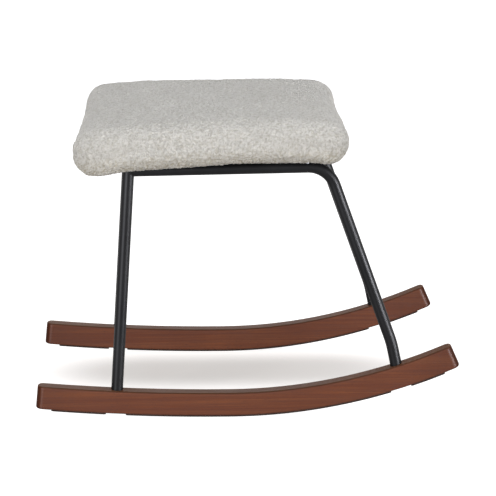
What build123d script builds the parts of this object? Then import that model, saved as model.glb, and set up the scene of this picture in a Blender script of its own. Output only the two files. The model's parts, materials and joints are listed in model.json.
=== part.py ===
from build123d import *
from math import asin, cos, degrees, radians, sin, sqrt, tan
import os

os.makedirs("parts", exist_ok=True)

# A rocking footstool: an upholstered seat on two bent tube side frames, each bolted
# down on a curved wooden rocker.  Millimetres and degrees.  +X runs along the rockers
# towards the raised front tips, +Y across the seat and +Z up.  The origin is on the
# floor, below the middle of the rockers.

# Rockers
rocker_length = 580.0
rocker_width = 24.0
rocker_depth = 32.0
rear_sole_radius = 2800.0
front_sole_radius = 778.0
low_point = -24.0  # where the flat rear arc meets the tighter front arc
rocker_tip_round = 9.0
rocker_edge_round = 3.0

# Felt glides under the rockers
glide_thickness = 2.0
glide_tip_inset = 21.0
glide_gap = 27.0  # left open round each rocker bolt
glide_corner = 3.0

# Tube frame
tube_diameter = 16.0
tube_wall = 1.5
rear_foot = -181.0  # where the axis of a rear leg meets the sole
rear_leg_lean = 3.5
rail_drop = 12.5  # from the rim of the seat to the axis of a rail, at the rear corner
rail_rise = 0.8
elbow = 107.7  # where the axes of rail and front leg cross
elbow_radius = 38.0
front_leg_rake = 19.8
front_foot_rake = 12.0
foot_bend_height = 100.0
foot_bend_radius = 120.0
rear_cross_station = -156.0  # cross tubes, measured along the seat from its bend
front_cross_station = 38.0

# Seat cushion, measured on the outside of its cover
seat_rear = -233.5
seat_front = 141.0
seat_width = 426.5
side_overhang = 41.25  # from the middle of a rocker to the side of the seat
seat_rim_height = 354.5
seat_thickness = 59.5
seat_crown = 3.5
seat_corner = 46.0
seat_top_round = 28.0
seat_rim_round = 20.0
end_draw = 5.0  # how far the middle of each end is drawn in between the corners
side_draw = 2.5
bend_start = 20.0
bend_radius = 1500.0
bend_angle = 3.4

# Upholstery
cover_thickness = 3.0
hem_thickness = 6.0  # the cover is folded double below the board
hem_gap = 5.25  # between the hem and a rail, seen from below
board_thickness = 12.0
dust_cover_thickness = 0.8
soft_gap = 0.3

# Seat plates and fasteners
plate_thickness = 3.0
plate_length = 42.0
plate_width = 34.0
plate_corner = 5.0
plate_inset = 32.0  # from the axis of a rail to the middle of a plate
plate_bolt_reach = 17.0  # from the axis of a cross tube to a seat bolt
thread_radius = 3.0
thread_gap = 0.05
bolt_hole_gap = 0.4
seat_bolt_length = 16.0
seat_head_radius = 5.25
seat_head_height = 3.3
socket_across_flats = 4.0
socket_depth = 2.0
washer_radius = 6.25
washer_thickness = 1.2
tee_barrel_radius = 4.0
tee_barrel_length = 9.0
tee_flange_radius = 9.5
tee_flange_thickness = 1.5
tee_gap = 0.1
counterbore_radius = 7.0
counterbore_depth = 10.0
rocker_head_radius = 5.0
rocker_head_height = 6.0
rocker_thread_hold = 15.0  # how far a rocker bolt screws into a foot plug
plug_length = 22.0
plug_gap = 0.05

# Worked out from the driving dimensions
tube_radius = tube_diameter / 2
bore_radius = tube_radius - tube_wall
bolt_hole_radius = thread_radius + bolt_hole_gap
rocker_spacing = seat_width - 2 * side_overhang  # between the middles of the rockers
rail_height = seat_rim_height - rail_drop
hem_width = side_overhang - tube_radius - hem_gap
plate_middle = rocker_spacing / 2 - plate_inset
bend_length = bend_radius * radians(bend_angle)
board_inset = cover_thickness + seat_rim_round - hem_thickness  # where the rim starts to curve
board_low = hem_thickness + soft_gap
board_high = board_low + board_thickness
plate_high = board_low - dust_cover_thickness
plate_low = plate_high - plate_thickness
reach = rocker_length + seat_width  # longer than anything it has to cut
across = Plane.XZ.offset(-reach)  # extruded from here by twice the reach, a face runs right across
sides = (("right", -rocker_spacing / 2), ("left", rocker_spacing / 2))


def save(piece, name):
    """Label a finished piece and write it."""
    piece.part.label = name
    export_step(piece.part, f"parts/{name}.step")


# ---------------------------------------------------------------------------
# Rockers: everything is placed by its station, the X of a point on the sole,
# and by its height above the sole
# ---------------------------------------------------------------------------


def sole_radius(station):
    return rear_sole_radius if station < low_point else front_sole_radius


def sole_turn(station):
    """The angle of the sole at a station, in degrees, rising to the front."""
    return degrees(asin((station - low_point) / sole_radius(station)))


def sole_point(station, height=0.0):
    """A point in the XZ plane, square above the sole at a station."""
    radius = sole_radius(station)
    turn = radians(sole_turn(station))
    return (
        low_point + (radius - height) * sin(turn),
        glide_thickness + radius - (radius - height) * cos(turn),
    )


def rocker_band(rear, front, low, high):
    """The face between two heights above the sole, from one station to another."""
    with BuildSketch() as band:
        with BuildLine():
            for height in (low, high):
                if rear < low_point:
                    end = min(front, low_point)
                    CenterArc(
                        (low_point, glide_thickness + rear_sole_radius),
                        rear_sole_radius - height,
                        270 + sole_turn(rear),
                        sole_turn(end) - sole_turn(rear),
                    )
                if front > low_point:
                    start = max(rear, low_point)
                    CenterArc(
                        (low_point, glide_thickness + front_sole_radius),
                        front_sole_radius - height,
                        270 + sole_turn(start),
                        sole_turn(front) - sole_turn(start),
                    )
            for station in (rear, front):
                Line(sole_point(station, low), sole_point(station, high))
        make_face()
    return band.sketch


# ---------------------------------------------------------------------------
# Tube frame: the axes of each side frame, drawn in the XZ plane
# ---------------------------------------------------------------------------


def rail_point(x):
    """The point of the rail's axis at a place along X."""
    return Vector(x, rail_height + (x - rear_corner.X) * tan(radians(rail_rise)))


def meet_sole(start, along):
    """Where a line that comes down from a point leaves through the front of the sole."""
    centre = Vector(low_point, glide_thickness + front_sole_radius)
    out = start - centre
    shadow = out.dot(along)
    return start + along * (sqrt(shadow**2 - out.dot(out) + front_sole_radius**2) - shadow)


rear_down = Vector(-sin(radians(rear_leg_lean)), -cos(radians(rear_leg_lean)))
front_down = Vector(sin(radians(front_foot_rake)), -cos(radians(front_foot_rake)))
rear_foot_point = Vector(*sole_point(rear_foot))
rear_corner = rear_foot_point - rear_down * (
    (rail_height - rear_foot_point.Y) / cos(radians(rear_leg_lean))
)
along_rail = Vector(cos(radians(rail_rise)), sin(radians(rail_rise)))
elbow_point = rail_point(elbow)
foot_bend = Vector(
    elbow + (elbow_point.Y - foot_bend_height) * tan(radians(front_leg_rake)), foot_bend_height
)
front_foot_point = meet_sole(foot_bend, front_down)
feet = (("rear", rear_foot_point, rear_down), ("front", front_foot_point, front_down))


def upright_plane(point, z_dir, y):
    """A plane at a point of the XZ plane, moved to y and facing along z_dir."""
    return Plane(
        origin=(point.X, y, point.Y), x_dir=(0, 1, 0), z_dir=(z_dir.X, 0, z_dir.Y)
    )


def mitre_plane(y):
    """The plane that halves the rear corner, facing the rail."""
    return upright_plane(rear_corner, (along_rail - rear_down).normalized(), y)


whole_rocker = rocker_band(-rocker_length / 2, rocker_length / 2, 0, rocker_depth)

glides = (
    ("rear", -rocker_length / 2 + glide_tip_inset, rear_foot - glide_gap / 2),
    ("middle", rear_foot + glide_gap / 2, front_foot_point.X - glide_gap / 2),
    ("front", front_foot_point.X + glide_gap / 2, rocker_length / 2 - glide_tip_inset),
)

for side, y in sides:
    # The rocker, with a counterbored hole for each leg bolt
    with BuildPart() as rocker:
        with BuildSketch(Plane.XZ.offset(-y)):
            add(whole_rocker)
        extrude(amount=rocker_width / 2, both=True)
        uprights = rocker.edges().filter_by(GeomType.LINE).filter_by(Axis.Y, reverse=True)
        fillet(uprights, rocker_tip_round)
        uprights = rocker.edges().filter_by(GeomType.LINE).filter_by(Axis.Y, reverse=True)
        fillet(rocker.edges() - uprights, rocker_edge_round)
        for _, point, down in feet:
            # the hole starts a little below the sole, which is curved
            with Locations(upright_plane(point + down * rocker_edge_round, down, y)):
                CounterBoreHole(
                    bolt_hole_radius,
                    counterbore_radius,
                    counterbore_depth + rocker_edge_round,
                    2 * rocker_depth,
                )
    save(rocker, f"{side}_rocker")

    for place, rear, front in glides:
        with BuildPart() as glide:
            with BuildSketch(Plane.XZ.offset(-y)):
                add(rocker_band(rear, front, -glide_thickness, 0))
            extrude(amount=rocker_width / 2 - rocker_edge_round, both=True)
            ends = glide.edges().filter_by(GeomType.LINE).filter_by(Axis.Y, reverse=True)
            fillet(ends, glide_corner)
        save(glide, f"{side}_{place}_glide")

    # The rail and the front leg, one tube bent at the elbow and again above the rocker
    with BuildPart() as side_tube:
        corners = (
            rear_corner - along_rail * tube_diameter,
            elbow_point,
            foot_bend,
            front_foot_point - front_down * rocker_depth / 2,
        )
        with BuildLine(Plane.XZ.offset(-y)):
            axis = FilletPolyline(
                *((corner.X, corner.Y) for corner in corners),
                radius=[elbow_radius, foot_bend_radius],
            )
        with BuildSketch(Plane(origin=axis @ 0, z_dir=axis % 0)):
            Circle(tube_radius)
            Circle(bore_radius, mode=Mode.SUBTRACT)
        sweep()
        split(bisect_by=mitre_plane(y), keep=Keep.TOP)
        with BuildSketch(Plane.XZ.offset(-y)):
            add(whole_rocker)
        extrude(amount=rocker_width, both=True, mode=Mode.SUBTRACT)
    save(side_tube, f"{side}_rail_and_front_leg")

    # The rear leg, mitred to the rail and cut to the top of the rocker
    with BuildPart() as rear_leg:
        with BuildSketch(upright_plane(rear_corner - rear_down * tube_diameter, rear_down, y)):
            Circle(tube_radius)
            Circle(bore_radius, mode=Mode.SUBTRACT)
        extrude(amount=(rear_corner - rear_foot_point).length)
        split(bisect_by=mitre_plane(y), keep=Keep.BOTTOM)
        with BuildSketch(Plane.XZ.offset(-y)):
            add(whole_rocker)
        extrude(amount=rocker_width, both=True, mode=Mode.SUBTRACT)
    save(rear_leg, f"{side}_rear_leg")

# Threaded plugs, one welded into the foot of each leg
with BuildPart() as leg_plugs:
    for _, y in sides:
        for _, point, down in feet:
            plug_top = point - down * (rocker_depth + plug_length)
            with BuildSketch(upright_plane(plug_top, down, y)):
                Circle(bore_radius - plug_gap)
                Circle(thread_radius + thread_gap, mode=Mode.SUBTRACT)
            extrude(amount=plug_length + rocker_depth / 2)
    with BuildSketch(across):
        add(whole_rocker)
    extrude(amount=2 * reach, mode=Mode.SUBTRACT)
save(leg_plugs, "leg_plugs")

# Rocker bolts with their washers, up through the rockers into the plugs
with BuildPart() as rocker_bolts:
    for _, y in sides:
        for _, point, down in feet:
            under_head = counterbore_depth - washer_thickness
            with BuildSketch(upright_plane(point - down * under_head, down, y)):
                Circle(rocker_head_radius)
            extrude(amount=rocker_head_height)
            with BuildSketch(upright_plane(point - down * under_head, -down, y)):
                Circle(thread_radius)
            extrude(amount=rocker_depth - under_head + rocker_thread_hold)
            socket_floor = under_head - rocker_head_height + socket_depth
            with BuildSketch(upright_plane(point - down * socket_floor, down, y)):
                RegularPolygon(socket_across_flats / 2, 6, major_radius=False)
            extrude(amount=socket_depth, mode=Mode.SUBTRACT)
save(rocker_bolts, "rocker_bolts")

with BuildPart() as rocker_washers:
    for _, y in sides:
        for _, point, down in feet:
            with BuildSketch(upright_plane(point - down * counterbore_depth, down, y)):
                Circle(washer_radius)
                Circle(bolt_hole_radius, mode=Mode.SUBTRACT)
            extrude(amount=washer_thickness)
save(rocker_washers, "rocker_washers")

# ---------------------------------------------------------------------------
# Seat: its layers follow one line, flat in front and bent down at the rear,
# and are placed by their station along it and their height above it
# ---------------------------------------------------------------------------


def seat_plane(station, height, y=0.0):
    """The plane square to the seat at a station measured forwards from the bend."""
    turn = min(max(-station / bend_radius, 0.0), radians(bend_angle))
    beyond = max(-station - bend_length, 0.0)
    normal = Vector(-sin(turn), 0, cos(turn))
    foot = Vector(
        bend_start + max(station, 0.0) - bend_radius * sin(turn) - beyond * cos(turn),
        y,
        seat_rim_height - bend_radius * (1 - cos(turn)) - beyond * sin(turn),
    )
    return Plane(origin=foot + normal * height, x_dir=(cos(turn), 0, sin(turn)), z_dir=normal)


def seat_point(station, height):
    """The same place as a point of the XZ plane."""
    place = seat_plane(station, height).origin
    return (place.X, place.Z)


def seat_band(low, high):
    """The face between two heights above the seat line, longer than the seat."""
    with BuildSketch() as band:
        with BuildLine():
            for height in (low, high):
                Line(seat_point(-reach, height), seat_point(-bend_length, height))
                CenterArc(
                    (bend_start, seat_rim_height - bend_radius),
                    bend_radius + height,
                    90,
                    bend_angle,
                )
                Line(seat_point(0, height), seat_point(reach, height))
            for station in (-reach, reach):
                Line(seat_point(station, low), seat_point(station, high))
        make_face()
    return band.sketch


def seat_plan(inset):
    """The outline from above, its four sides drawn in between rounded corners."""
    middle = (seat_rear + seat_front) / 2
    half_x = (seat_front - seat_rear) / 2
    half_y = seat_width / 2
    waist_x = half_x - end_draw - inset
    waist_y = half_y - side_draw - inset
    corner_x = waist_x + end_draw * (1 - inset / half_y) ** 2
    corner_y = waist_y + side_draw * (1 - inset / half_x) ** 2
    with BuildSketch() as plan:
        with BuildLine():
            for way in (-1, 1):
                x, y = middle + way * corner_x, way * corner_y
                ThreePointArc((x, -corner_y), (middle + way * waist_x, 0), (x, corner_y))
                ThreePointArc((middle - corner_x, y), (middle, way * waist_y), (middle + corner_x, y))
        make_face()
        fillet(plan.vertices(), seat_corner - inset)
    return plan.sketch


def cushion(inset, low):
    """The crowned cushion, all round by an inset smaller and from a height upwards."""
    crown_radius = (seat_width / 2) ** 2 / (2 * seat_crown)
    crown_axis = seat_rim_height + seat_thickness - crown_radius
    with BuildPart() as form:
        with BuildSketch():
            add(seat_plan(inset))
        extrude(amount=reach)
        with BuildSketch(across):
            add(seat_band(low, reach))
        extrude(amount=2 * reach, mode=Mode.INTERSECT)
        with BuildSketch(Plane.XZ):
            add(seat_band(-seat_rim_height, seat_thickness - inset))
        revolve(axis=Axis((0, 0, crown_axis), (1, 0, 0)), mode=Mode.INTERSECT)
        walls = form.faces().filter_by(lambda face: abs(face.normal_at().Z) < 0.5)
        tops = form.faces().filter_by(lambda face: face.normal_at().Z > 0.5)
        fillet(tops.edges() & walls.edges(), seat_top_round - inset)
        walls = form.faces().filter_by(lambda face: abs(face.normal_at().Z) < 0.5)
        floors = form.faces().filter_by(lambda face: face.normal_at().Z < -0.9)
        fillet(floors.edges() & walls.edges(), seat_rim_round - low)
    return form.part


def seat_layer(inset, low, high):
    """A flat layer of the seat between two heights."""
    with BuildPart() as layer:
        with BuildSketch():
            add(seat_plan(inset))
        extrude(amount=reach)
        with BuildSketch(across):
            add(seat_band(low, high))
        extrude(amount=2 * reach, mode=Mode.INTERSECT)
    return layer.part


crosses = (("rear", rear_cross_station, 1), ("front", front_cross_station, -1))
bolt_stations = [station + inwards * plate_bolt_reach for _, station, inwards in crosses]
bolt_places = [(station, y) for station in bolt_stations for y in (-plate_middle, plate_middle)]


def bolt_planes(height):
    """A plane on the axis of each seat bolt, facing up out of the seat line."""
    return [seat_plane(station, height, y) for station, y in bolt_places]


# The moulded plywood board, bored for the seat bolts
with BuildPart() as seat_board:
    add(seat_layer(board_inset, board_low, board_high))
    with Locations(*bolt_planes(board_high)):
        CounterBoreHole(
            tee_barrel_radius + tee_gap,
            tee_flange_radius + tee_gap,
            tee_flange_thickness,
            2 * board_thickness,
        )
save(seat_board, "seat_board")

# Tee nuts, their flanges let into the top of the board
with BuildPart() as tee_nuts:
    for plane in bolt_planes(board_high):
        with BuildSketch(plane):
            Circle(tee_flange_radius)
        extrude(amount=-tee_flange_thickness)
        with BuildSketch(plane):
            Circle(tee_barrel_radius)
        extrude(amount=-tee_flange_thickness - tee_barrel_length)
        with BuildSketch(plane):
            Circle(thread_radius + thread_gap)
        extrude(amount=-board_thickness, mode=Mode.SUBTRACT)
save(tee_nuts, "tee_nuts")

# The foam lies on the board and wraps its edges
with BuildPart() as seat_foam:
    add(cushion(cover_thickness + soft_gap, board_low))
    add(
        seat_layer(board_inset - soft_gap, -board_thickness, board_high + soft_gap),
        mode=Mode.SUBTRACT,
    )
save(seat_foam, "seat_foam")

# The cover, drawn over the foam, folded double below the board and open in the middle
with BuildPart() as seat_cover:
    add(cushion(0, 0))
    add(cushion(cover_thickness, hem_thickness), mode=Mode.SUBTRACT)
    add(seat_layer(hem_width, -board_thickness, board_high), mode=Mode.SUBTRACT)
save(seat_cover, "seat_cover")

# The dust cover closes that opening, below the board
with BuildPart() as dust_cover:
    add(seat_layer(hem_width + soft_gap, plate_high, board_low))
    with Locations(*bolt_planes(board_low)):
        Hole(bolt_hole_radius)
save(dust_cover, "dust_cover")

for place, station, inwards in crosses:
    # A cross tube, coped to both rails
    axis_point = seat_point(station, plate_low - tube_radius)
    with BuildPart() as cross_tube:
        with BuildSketch(Plane.XZ):
            with Locations(axis_point):
                Circle(tube_radius)
                Circle(bore_radius, mode=Mode.SUBTRACT)
        extrude(amount=rocker_spacing / 2, both=True)
        for _, y in sides:
            with BuildSketch(upright_plane(rear_corner, along_rail, y)):
                Circle(tube_radius)
            extrude(amount=reach, mode=Mode.SUBTRACT)
    save(cross_tube, f"{place}_cross_tube")

    # The plates welded on it, which carry the board
    for side, y in (("right", -plate_middle), ("left", plate_middle)):
        with BuildPart() as plate:
            with BuildSketch(seat_plane(station + inwards * plate_bolt_reach / 2, plate_low, y)):
                RectangleRounded(plate_width, plate_length, plate_corner)
            extrude(amount=plate_thickness)
            with Locations(seat_plane(station + inwards * plate_bolt_reach, plate_high, y)):
                Hole(bolt_hole_radius)
        save(plate, f"{place}_{side}_plate")

# Seat bolts and washers, up through the plates into the tee nuts
with BuildPart() as seat_bolts:
    for plane in bolt_planes(plate_low - washer_thickness):
        with BuildSketch(plane):
            Circle(thread_radius)
        extrude(amount=seat_bolt_length)
        with BuildSketch(plane):
            Circle(seat_head_radius)
        extrude(amount=-seat_head_height)
        with BuildSketch(plane.offset(-seat_head_height)):
            RegularPolygon(socket_across_flats / 2, 6, major_radius=False)
        extrude(amount=socket_depth, mode=Mode.SUBTRACT)
save(seat_bolts, "seat_bolts")

with BuildPart() as seat_washers:
    for plane in bolt_planes(plate_low - washer_thickness):
        with BuildSketch(plane):
            Circle(washer_radius)
            Circle(bolt_hole_radius, mode=Mode.SUBTRACT)
        extrude(amount=washer_thickness)
save(seat_washers, "seat_washers")
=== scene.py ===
# %% [markdown]
# # A rocking footstool, finished
#
# A looped fabric cushion on a frame of bent black tube, standing on two curved wooden
# rockers.  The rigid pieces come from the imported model, at their real size, and keep
# their shape.  This lesson gives every surface its finish, and builds what a solid can't
# hold: the stuffed cushion, the cloth below it, its staples and the weld beads.

import json
import math

import bpy
import numpy as np
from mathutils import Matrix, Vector
from mathutils.bvhtree import BVHTree


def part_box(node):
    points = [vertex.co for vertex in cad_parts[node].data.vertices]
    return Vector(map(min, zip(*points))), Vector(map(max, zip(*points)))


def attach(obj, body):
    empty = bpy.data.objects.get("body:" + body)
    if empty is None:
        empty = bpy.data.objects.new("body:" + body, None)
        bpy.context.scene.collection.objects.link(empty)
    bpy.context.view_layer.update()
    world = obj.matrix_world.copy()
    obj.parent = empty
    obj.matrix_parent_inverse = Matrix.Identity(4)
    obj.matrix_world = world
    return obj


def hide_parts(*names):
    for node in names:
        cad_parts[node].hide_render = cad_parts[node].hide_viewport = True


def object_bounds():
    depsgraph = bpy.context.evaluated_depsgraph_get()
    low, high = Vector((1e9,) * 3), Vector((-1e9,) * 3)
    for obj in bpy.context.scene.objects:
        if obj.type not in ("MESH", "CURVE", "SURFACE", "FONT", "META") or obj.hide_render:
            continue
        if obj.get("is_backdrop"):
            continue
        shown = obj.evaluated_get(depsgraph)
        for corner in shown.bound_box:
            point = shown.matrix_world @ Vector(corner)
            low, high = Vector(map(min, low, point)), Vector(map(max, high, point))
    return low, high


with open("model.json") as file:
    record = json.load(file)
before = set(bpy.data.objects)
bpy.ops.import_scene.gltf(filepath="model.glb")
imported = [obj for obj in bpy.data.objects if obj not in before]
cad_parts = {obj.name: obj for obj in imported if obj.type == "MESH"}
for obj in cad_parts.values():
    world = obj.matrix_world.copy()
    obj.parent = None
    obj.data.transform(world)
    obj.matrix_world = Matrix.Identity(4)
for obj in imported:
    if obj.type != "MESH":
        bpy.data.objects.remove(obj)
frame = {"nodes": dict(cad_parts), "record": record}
nodes = frame["nodes"]
cad_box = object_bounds()
scene = bpy.context.scene
scene.view_settings.view_transform = "Standard"
print("rigid pieces:", len(nodes))
print("size in metres:", [round(high - low, 4) for low, high in zip(*cad_box)])

# %% [markdown]
# ## The camera
#
# The camera comes first, because everything else is judged through it.  A long lens far
# away keeps the rockers nearly parallel.  The picture is square, so the lens in
# millimetres is the focal length in pixels times the sensor's width, divided by the
# picture's side.

# %% Camera
camera_place = (-0.1375, -3.4313, 0.9726)
camera_pitch = math.radians(12.751)
camera_yaw = math.radians(2.414)
focal_pixels = 2475.0
picture_side = 496.0

camera_data = bpy.data.cameras.new("camera")
camera_data.sensor_width = 36.0
camera_data.lens = focal_pixels * camera_data.sensor_width / picture_side
camera = bpy.data.objects.new("camera", camera_data)
camera.location = camera_place
camera.rotation_euler = (math.pi / 2 - camera_pitch, 0, -camera_yaw)
scene.collection.objects.link(camera)
scene.camera = camera
print("lens:", round(camera_data.lens, 1), "mm")

# %% [markdown]
# ## Building materials from nodes
#
# A material is a small network.  Two helpers keep it readable: one makes a node and
# fills its inputs, either with plain values or with what another node puts out, and one
# blends two colours.

# %% Node helpers
def place(tree, kind, inputs=None, **settings):
    """Make one shader node: first its settings, then each input, a value or an output."""
    made = tree.nodes.new("ShaderNode" + kind)
    for name, value in settings.items():
        setattr(made, name, value)
    for name, value in (inputs or {}).items():
        if isinstance(value, bpy.types.NodeSocket):
            tree.links.new(value, made.inputs[name])
        else:
            made.inputs[name].default_value = value
    return made


def mix_colour(tree, share, first, second):
    """A colour between two others; share 0 gives the first and 1 the second."""
    return place(tree, "Mix", {0: share, 6: first, 7: second}, data_type="RGBA").outputs[2]


def calculate(tree, how, *values):
    """One step of arithmetic on numbers or outputs."""
    return place(tree, "Math", dict(enumerate(values)), operation=how).outputs[0]


def stretch(tree, value, low, high, to_low=0.0, to_high=1.0):
    """Carry low..high to to_low..to_high, smoothly, and hold it there at both ends."""
    names = ("Value", "From Min", "From Max", "To Min", "To Max")
    inputs = dict(zip(names, (value, low, high, to_low, to_high)))
    return place(tree, "MapRange", inputs, interpolation_type="SMOOTHSTEP").outputs["Result"]


def colour(red, green, blue):
    """A colour as a picture shows it, 0 to 255, turned into the light it sends back."""
    shown = np.array((red, green, blue)) / 255
    light = np.where(shown < 0.04045, shown / 12.92, ((shown + 0.055) / 1.055) ** 2.4)
    return (*light.tolist(), 1.0)


def new_material(name):
    """An empty material: its tree and its Principled surface."""
    material = bpy.data.materials.new(name)
    material.use_nodes = True
    tree = material.node_tree
    tree.nodes.clear()
    surface = place(tree, "BsdfPrincipled")
    output = place(tree, "OutputMaterial")
    tree.links.new(surface.outputs["BSDF"], output.inputs["Surface"])
    return material, tree, surface


def feed(tree, surface, **outputs):
    """Link outputs to the surface's sockets, a blank in a socket's name written as _."""
    for name, output in outputs.items():
        tree.links.new(output, surface.inputs[name.replace("_", " ")])


def settle(surface, **values):
    """Set plain numbers on the surface's own sockets."""
    for name, value in values.items():
        surface.inputs[name.replace("_", " ")].default_value = value


def finish_with(material, *pieces):
    """Give pieces a material in place of whatever they came with."""
    for piece in pieces:
        piece.data.materials.clear()
        piece.data.materials.append(material)


def new_group(name, inputs, outputs):
    """A shader node group with named sockets: its tree, its input node and its output node."""
    tree = bpy.data.node_groups.new(name, "ShaderNodeTree")
    for label, kind, value in inputs:
        socket = tree.interface.new_socket(label, in_out="INPUT", socket_type="NodeSocket" + kind)
        if value is not None:
            socket.default_value = value
    for label, kind in outputs:
        tree.interface.new_socket(label, in_out="OUTPUT", socket_type="NodeSocket" + kind)
    return tree, tree.nodes.new("NodeGroupInput"), tree.nodes.new("NodeGroupOutput")


def use_group(tree, group, **inputs):
    """Place a group in a material, with its own values."""
    return place(
        tree, "Group", {k.replace("_", " "): v for k, v in inputs.items()}, node_tree=group
    )


# %% [markdown]
# ## Effects that several finishes share
#
# No real surface is even.  *Cloudiness* is a slow change over some centimetres, which
# paint, wood and cloth all have.  *Grain* is long streaks with short pores in them, as in
# sawn wood and plywood.  *Fibres* are short crossed threads, as in felt and in the thin
# non-woven cloth below a seat.  Each is a group, so that a material only picks its size.

# %% Cloudiness
cloudiness, inner, ends = new_group(
    "cloudiness", [("Place", "Vector", None), ("Size", "Float", 0.05)], [("Cloud", "Float")]
)
per_metre = calculate(cloudiness, "DIVIDE", 1.0, inner.outputs["Size"])
clouds = place(
    cloudiness,
    "TexNoise",
    {"Vector": inner.outputs["Place"], "Scale": per_metre, "Detail": 3.0, "Roughness": 0.55},
)
cloudiness.links.new(stretch(cloudiness, clouds.outputs[0], 0.3, 0.7), ends.inputs["Cloud"])

# %% Grain
grain, inner, ends = new_group(
    "grain",
    [("Place", "Vector", None), ("Streak width", "Float", 0.0022), ("Streak length", "Float", 0.09)],
    [("Streaks", "Float"), ("Pores", "Float"), ("Bands", "Float")],
)


def streaks_of(tree, where, width, length, detail, twist):
    """Noise drawn out along X: its scale is one over a length there, one over a width across."""
    fine = calculate(tree, "DIVIDE", 1.0, width)
    slow = calculate(tree, "DIVIDE", 1.0, length)
    scales = place(tree, "CombineXYZ", {"X": slow, "Y": fine, "Z": fine}).outputs[0]
    drawn = place(tree, "VectorMath", {0: where, 1: scales}, operation="MULTIPLY").outputs[0]
    return place(
        tree, "TexNoise", {"Vector": drawn, "Scale": 1.0, "Detail": detail, "Distortion": twist}
    ).outputs[0]


where = inner.outputs["Place"]
streak_width, streak_length = inner.outputs["Streak width"], inner.outputs["Streak length"]
streaks = streaks_of(grain, where, streak_width, streak_length, detail=4.0, twist=0.4)
pores = streaks_of(
    grain,
    where,
    calculate(grain, "MULTIPLY", streak_width, 0.3),
    calculate(grain, "MULTIPLY", streak_length, 0.06),
    detail=1.0,
    twist=0.0,
)
bands = streaks_of(
    grain,
    where,
    calculate(grain, "MULTIPLY", streak_width, 5.0),
    calculate(grain, "MULTIPLY", streak_length, 4.0),
    detail=2.0,
    twist=0.8,
)
grain.links.new(stretch(grain, streaks, 0.32, 0.68), ends.inputs["Streaks"])
grain.links.new(stretch(grain, pores, 0.60, 0.72), ends.inputs["Pores"])
grain.links.new(stretch(grain, bands, 0.35, 0.65), ends.inputs["Bands"])

# %% Fibres
fibres, inner, ends = new_group(
    "fibres", [("Place", "Vector", None), ("Length", "Float", 0.004)], [("Threads", "Float")]
)
thread_scale = calculate(fibres, "DIVIDE", 1.0, inner.outputs["Length"])
crossed = []
for turn in ((0.3, 0.2, 0.5), (1.4, 0.7, 2.1), (2.3, 1.9, 0.9)):
    turned = place(
        fibres, "Mapping", {"Vector": inner.outputs["Place"], "Rotation": turn, "Scale": (1, 7, 7)}
    ).outputs[0]
    crossed.append(
        place(
            fibres, "TexNoise", {"Vector": turned, "Scale": thread_scale, "Detail": 1.0}
        ).outputs[0]
    )
most = calculate(fibres, "MAXIMUM", calculate(fibres, "MAXIMUM", *crossed[:2]), crossed[2])
fibres.links.new(stretch(fibres, most, 0.45, 0.75), ends.inputs["Threads"])
print("shared effects:", [group.name for group in bpy.data.node_groups])
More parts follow.
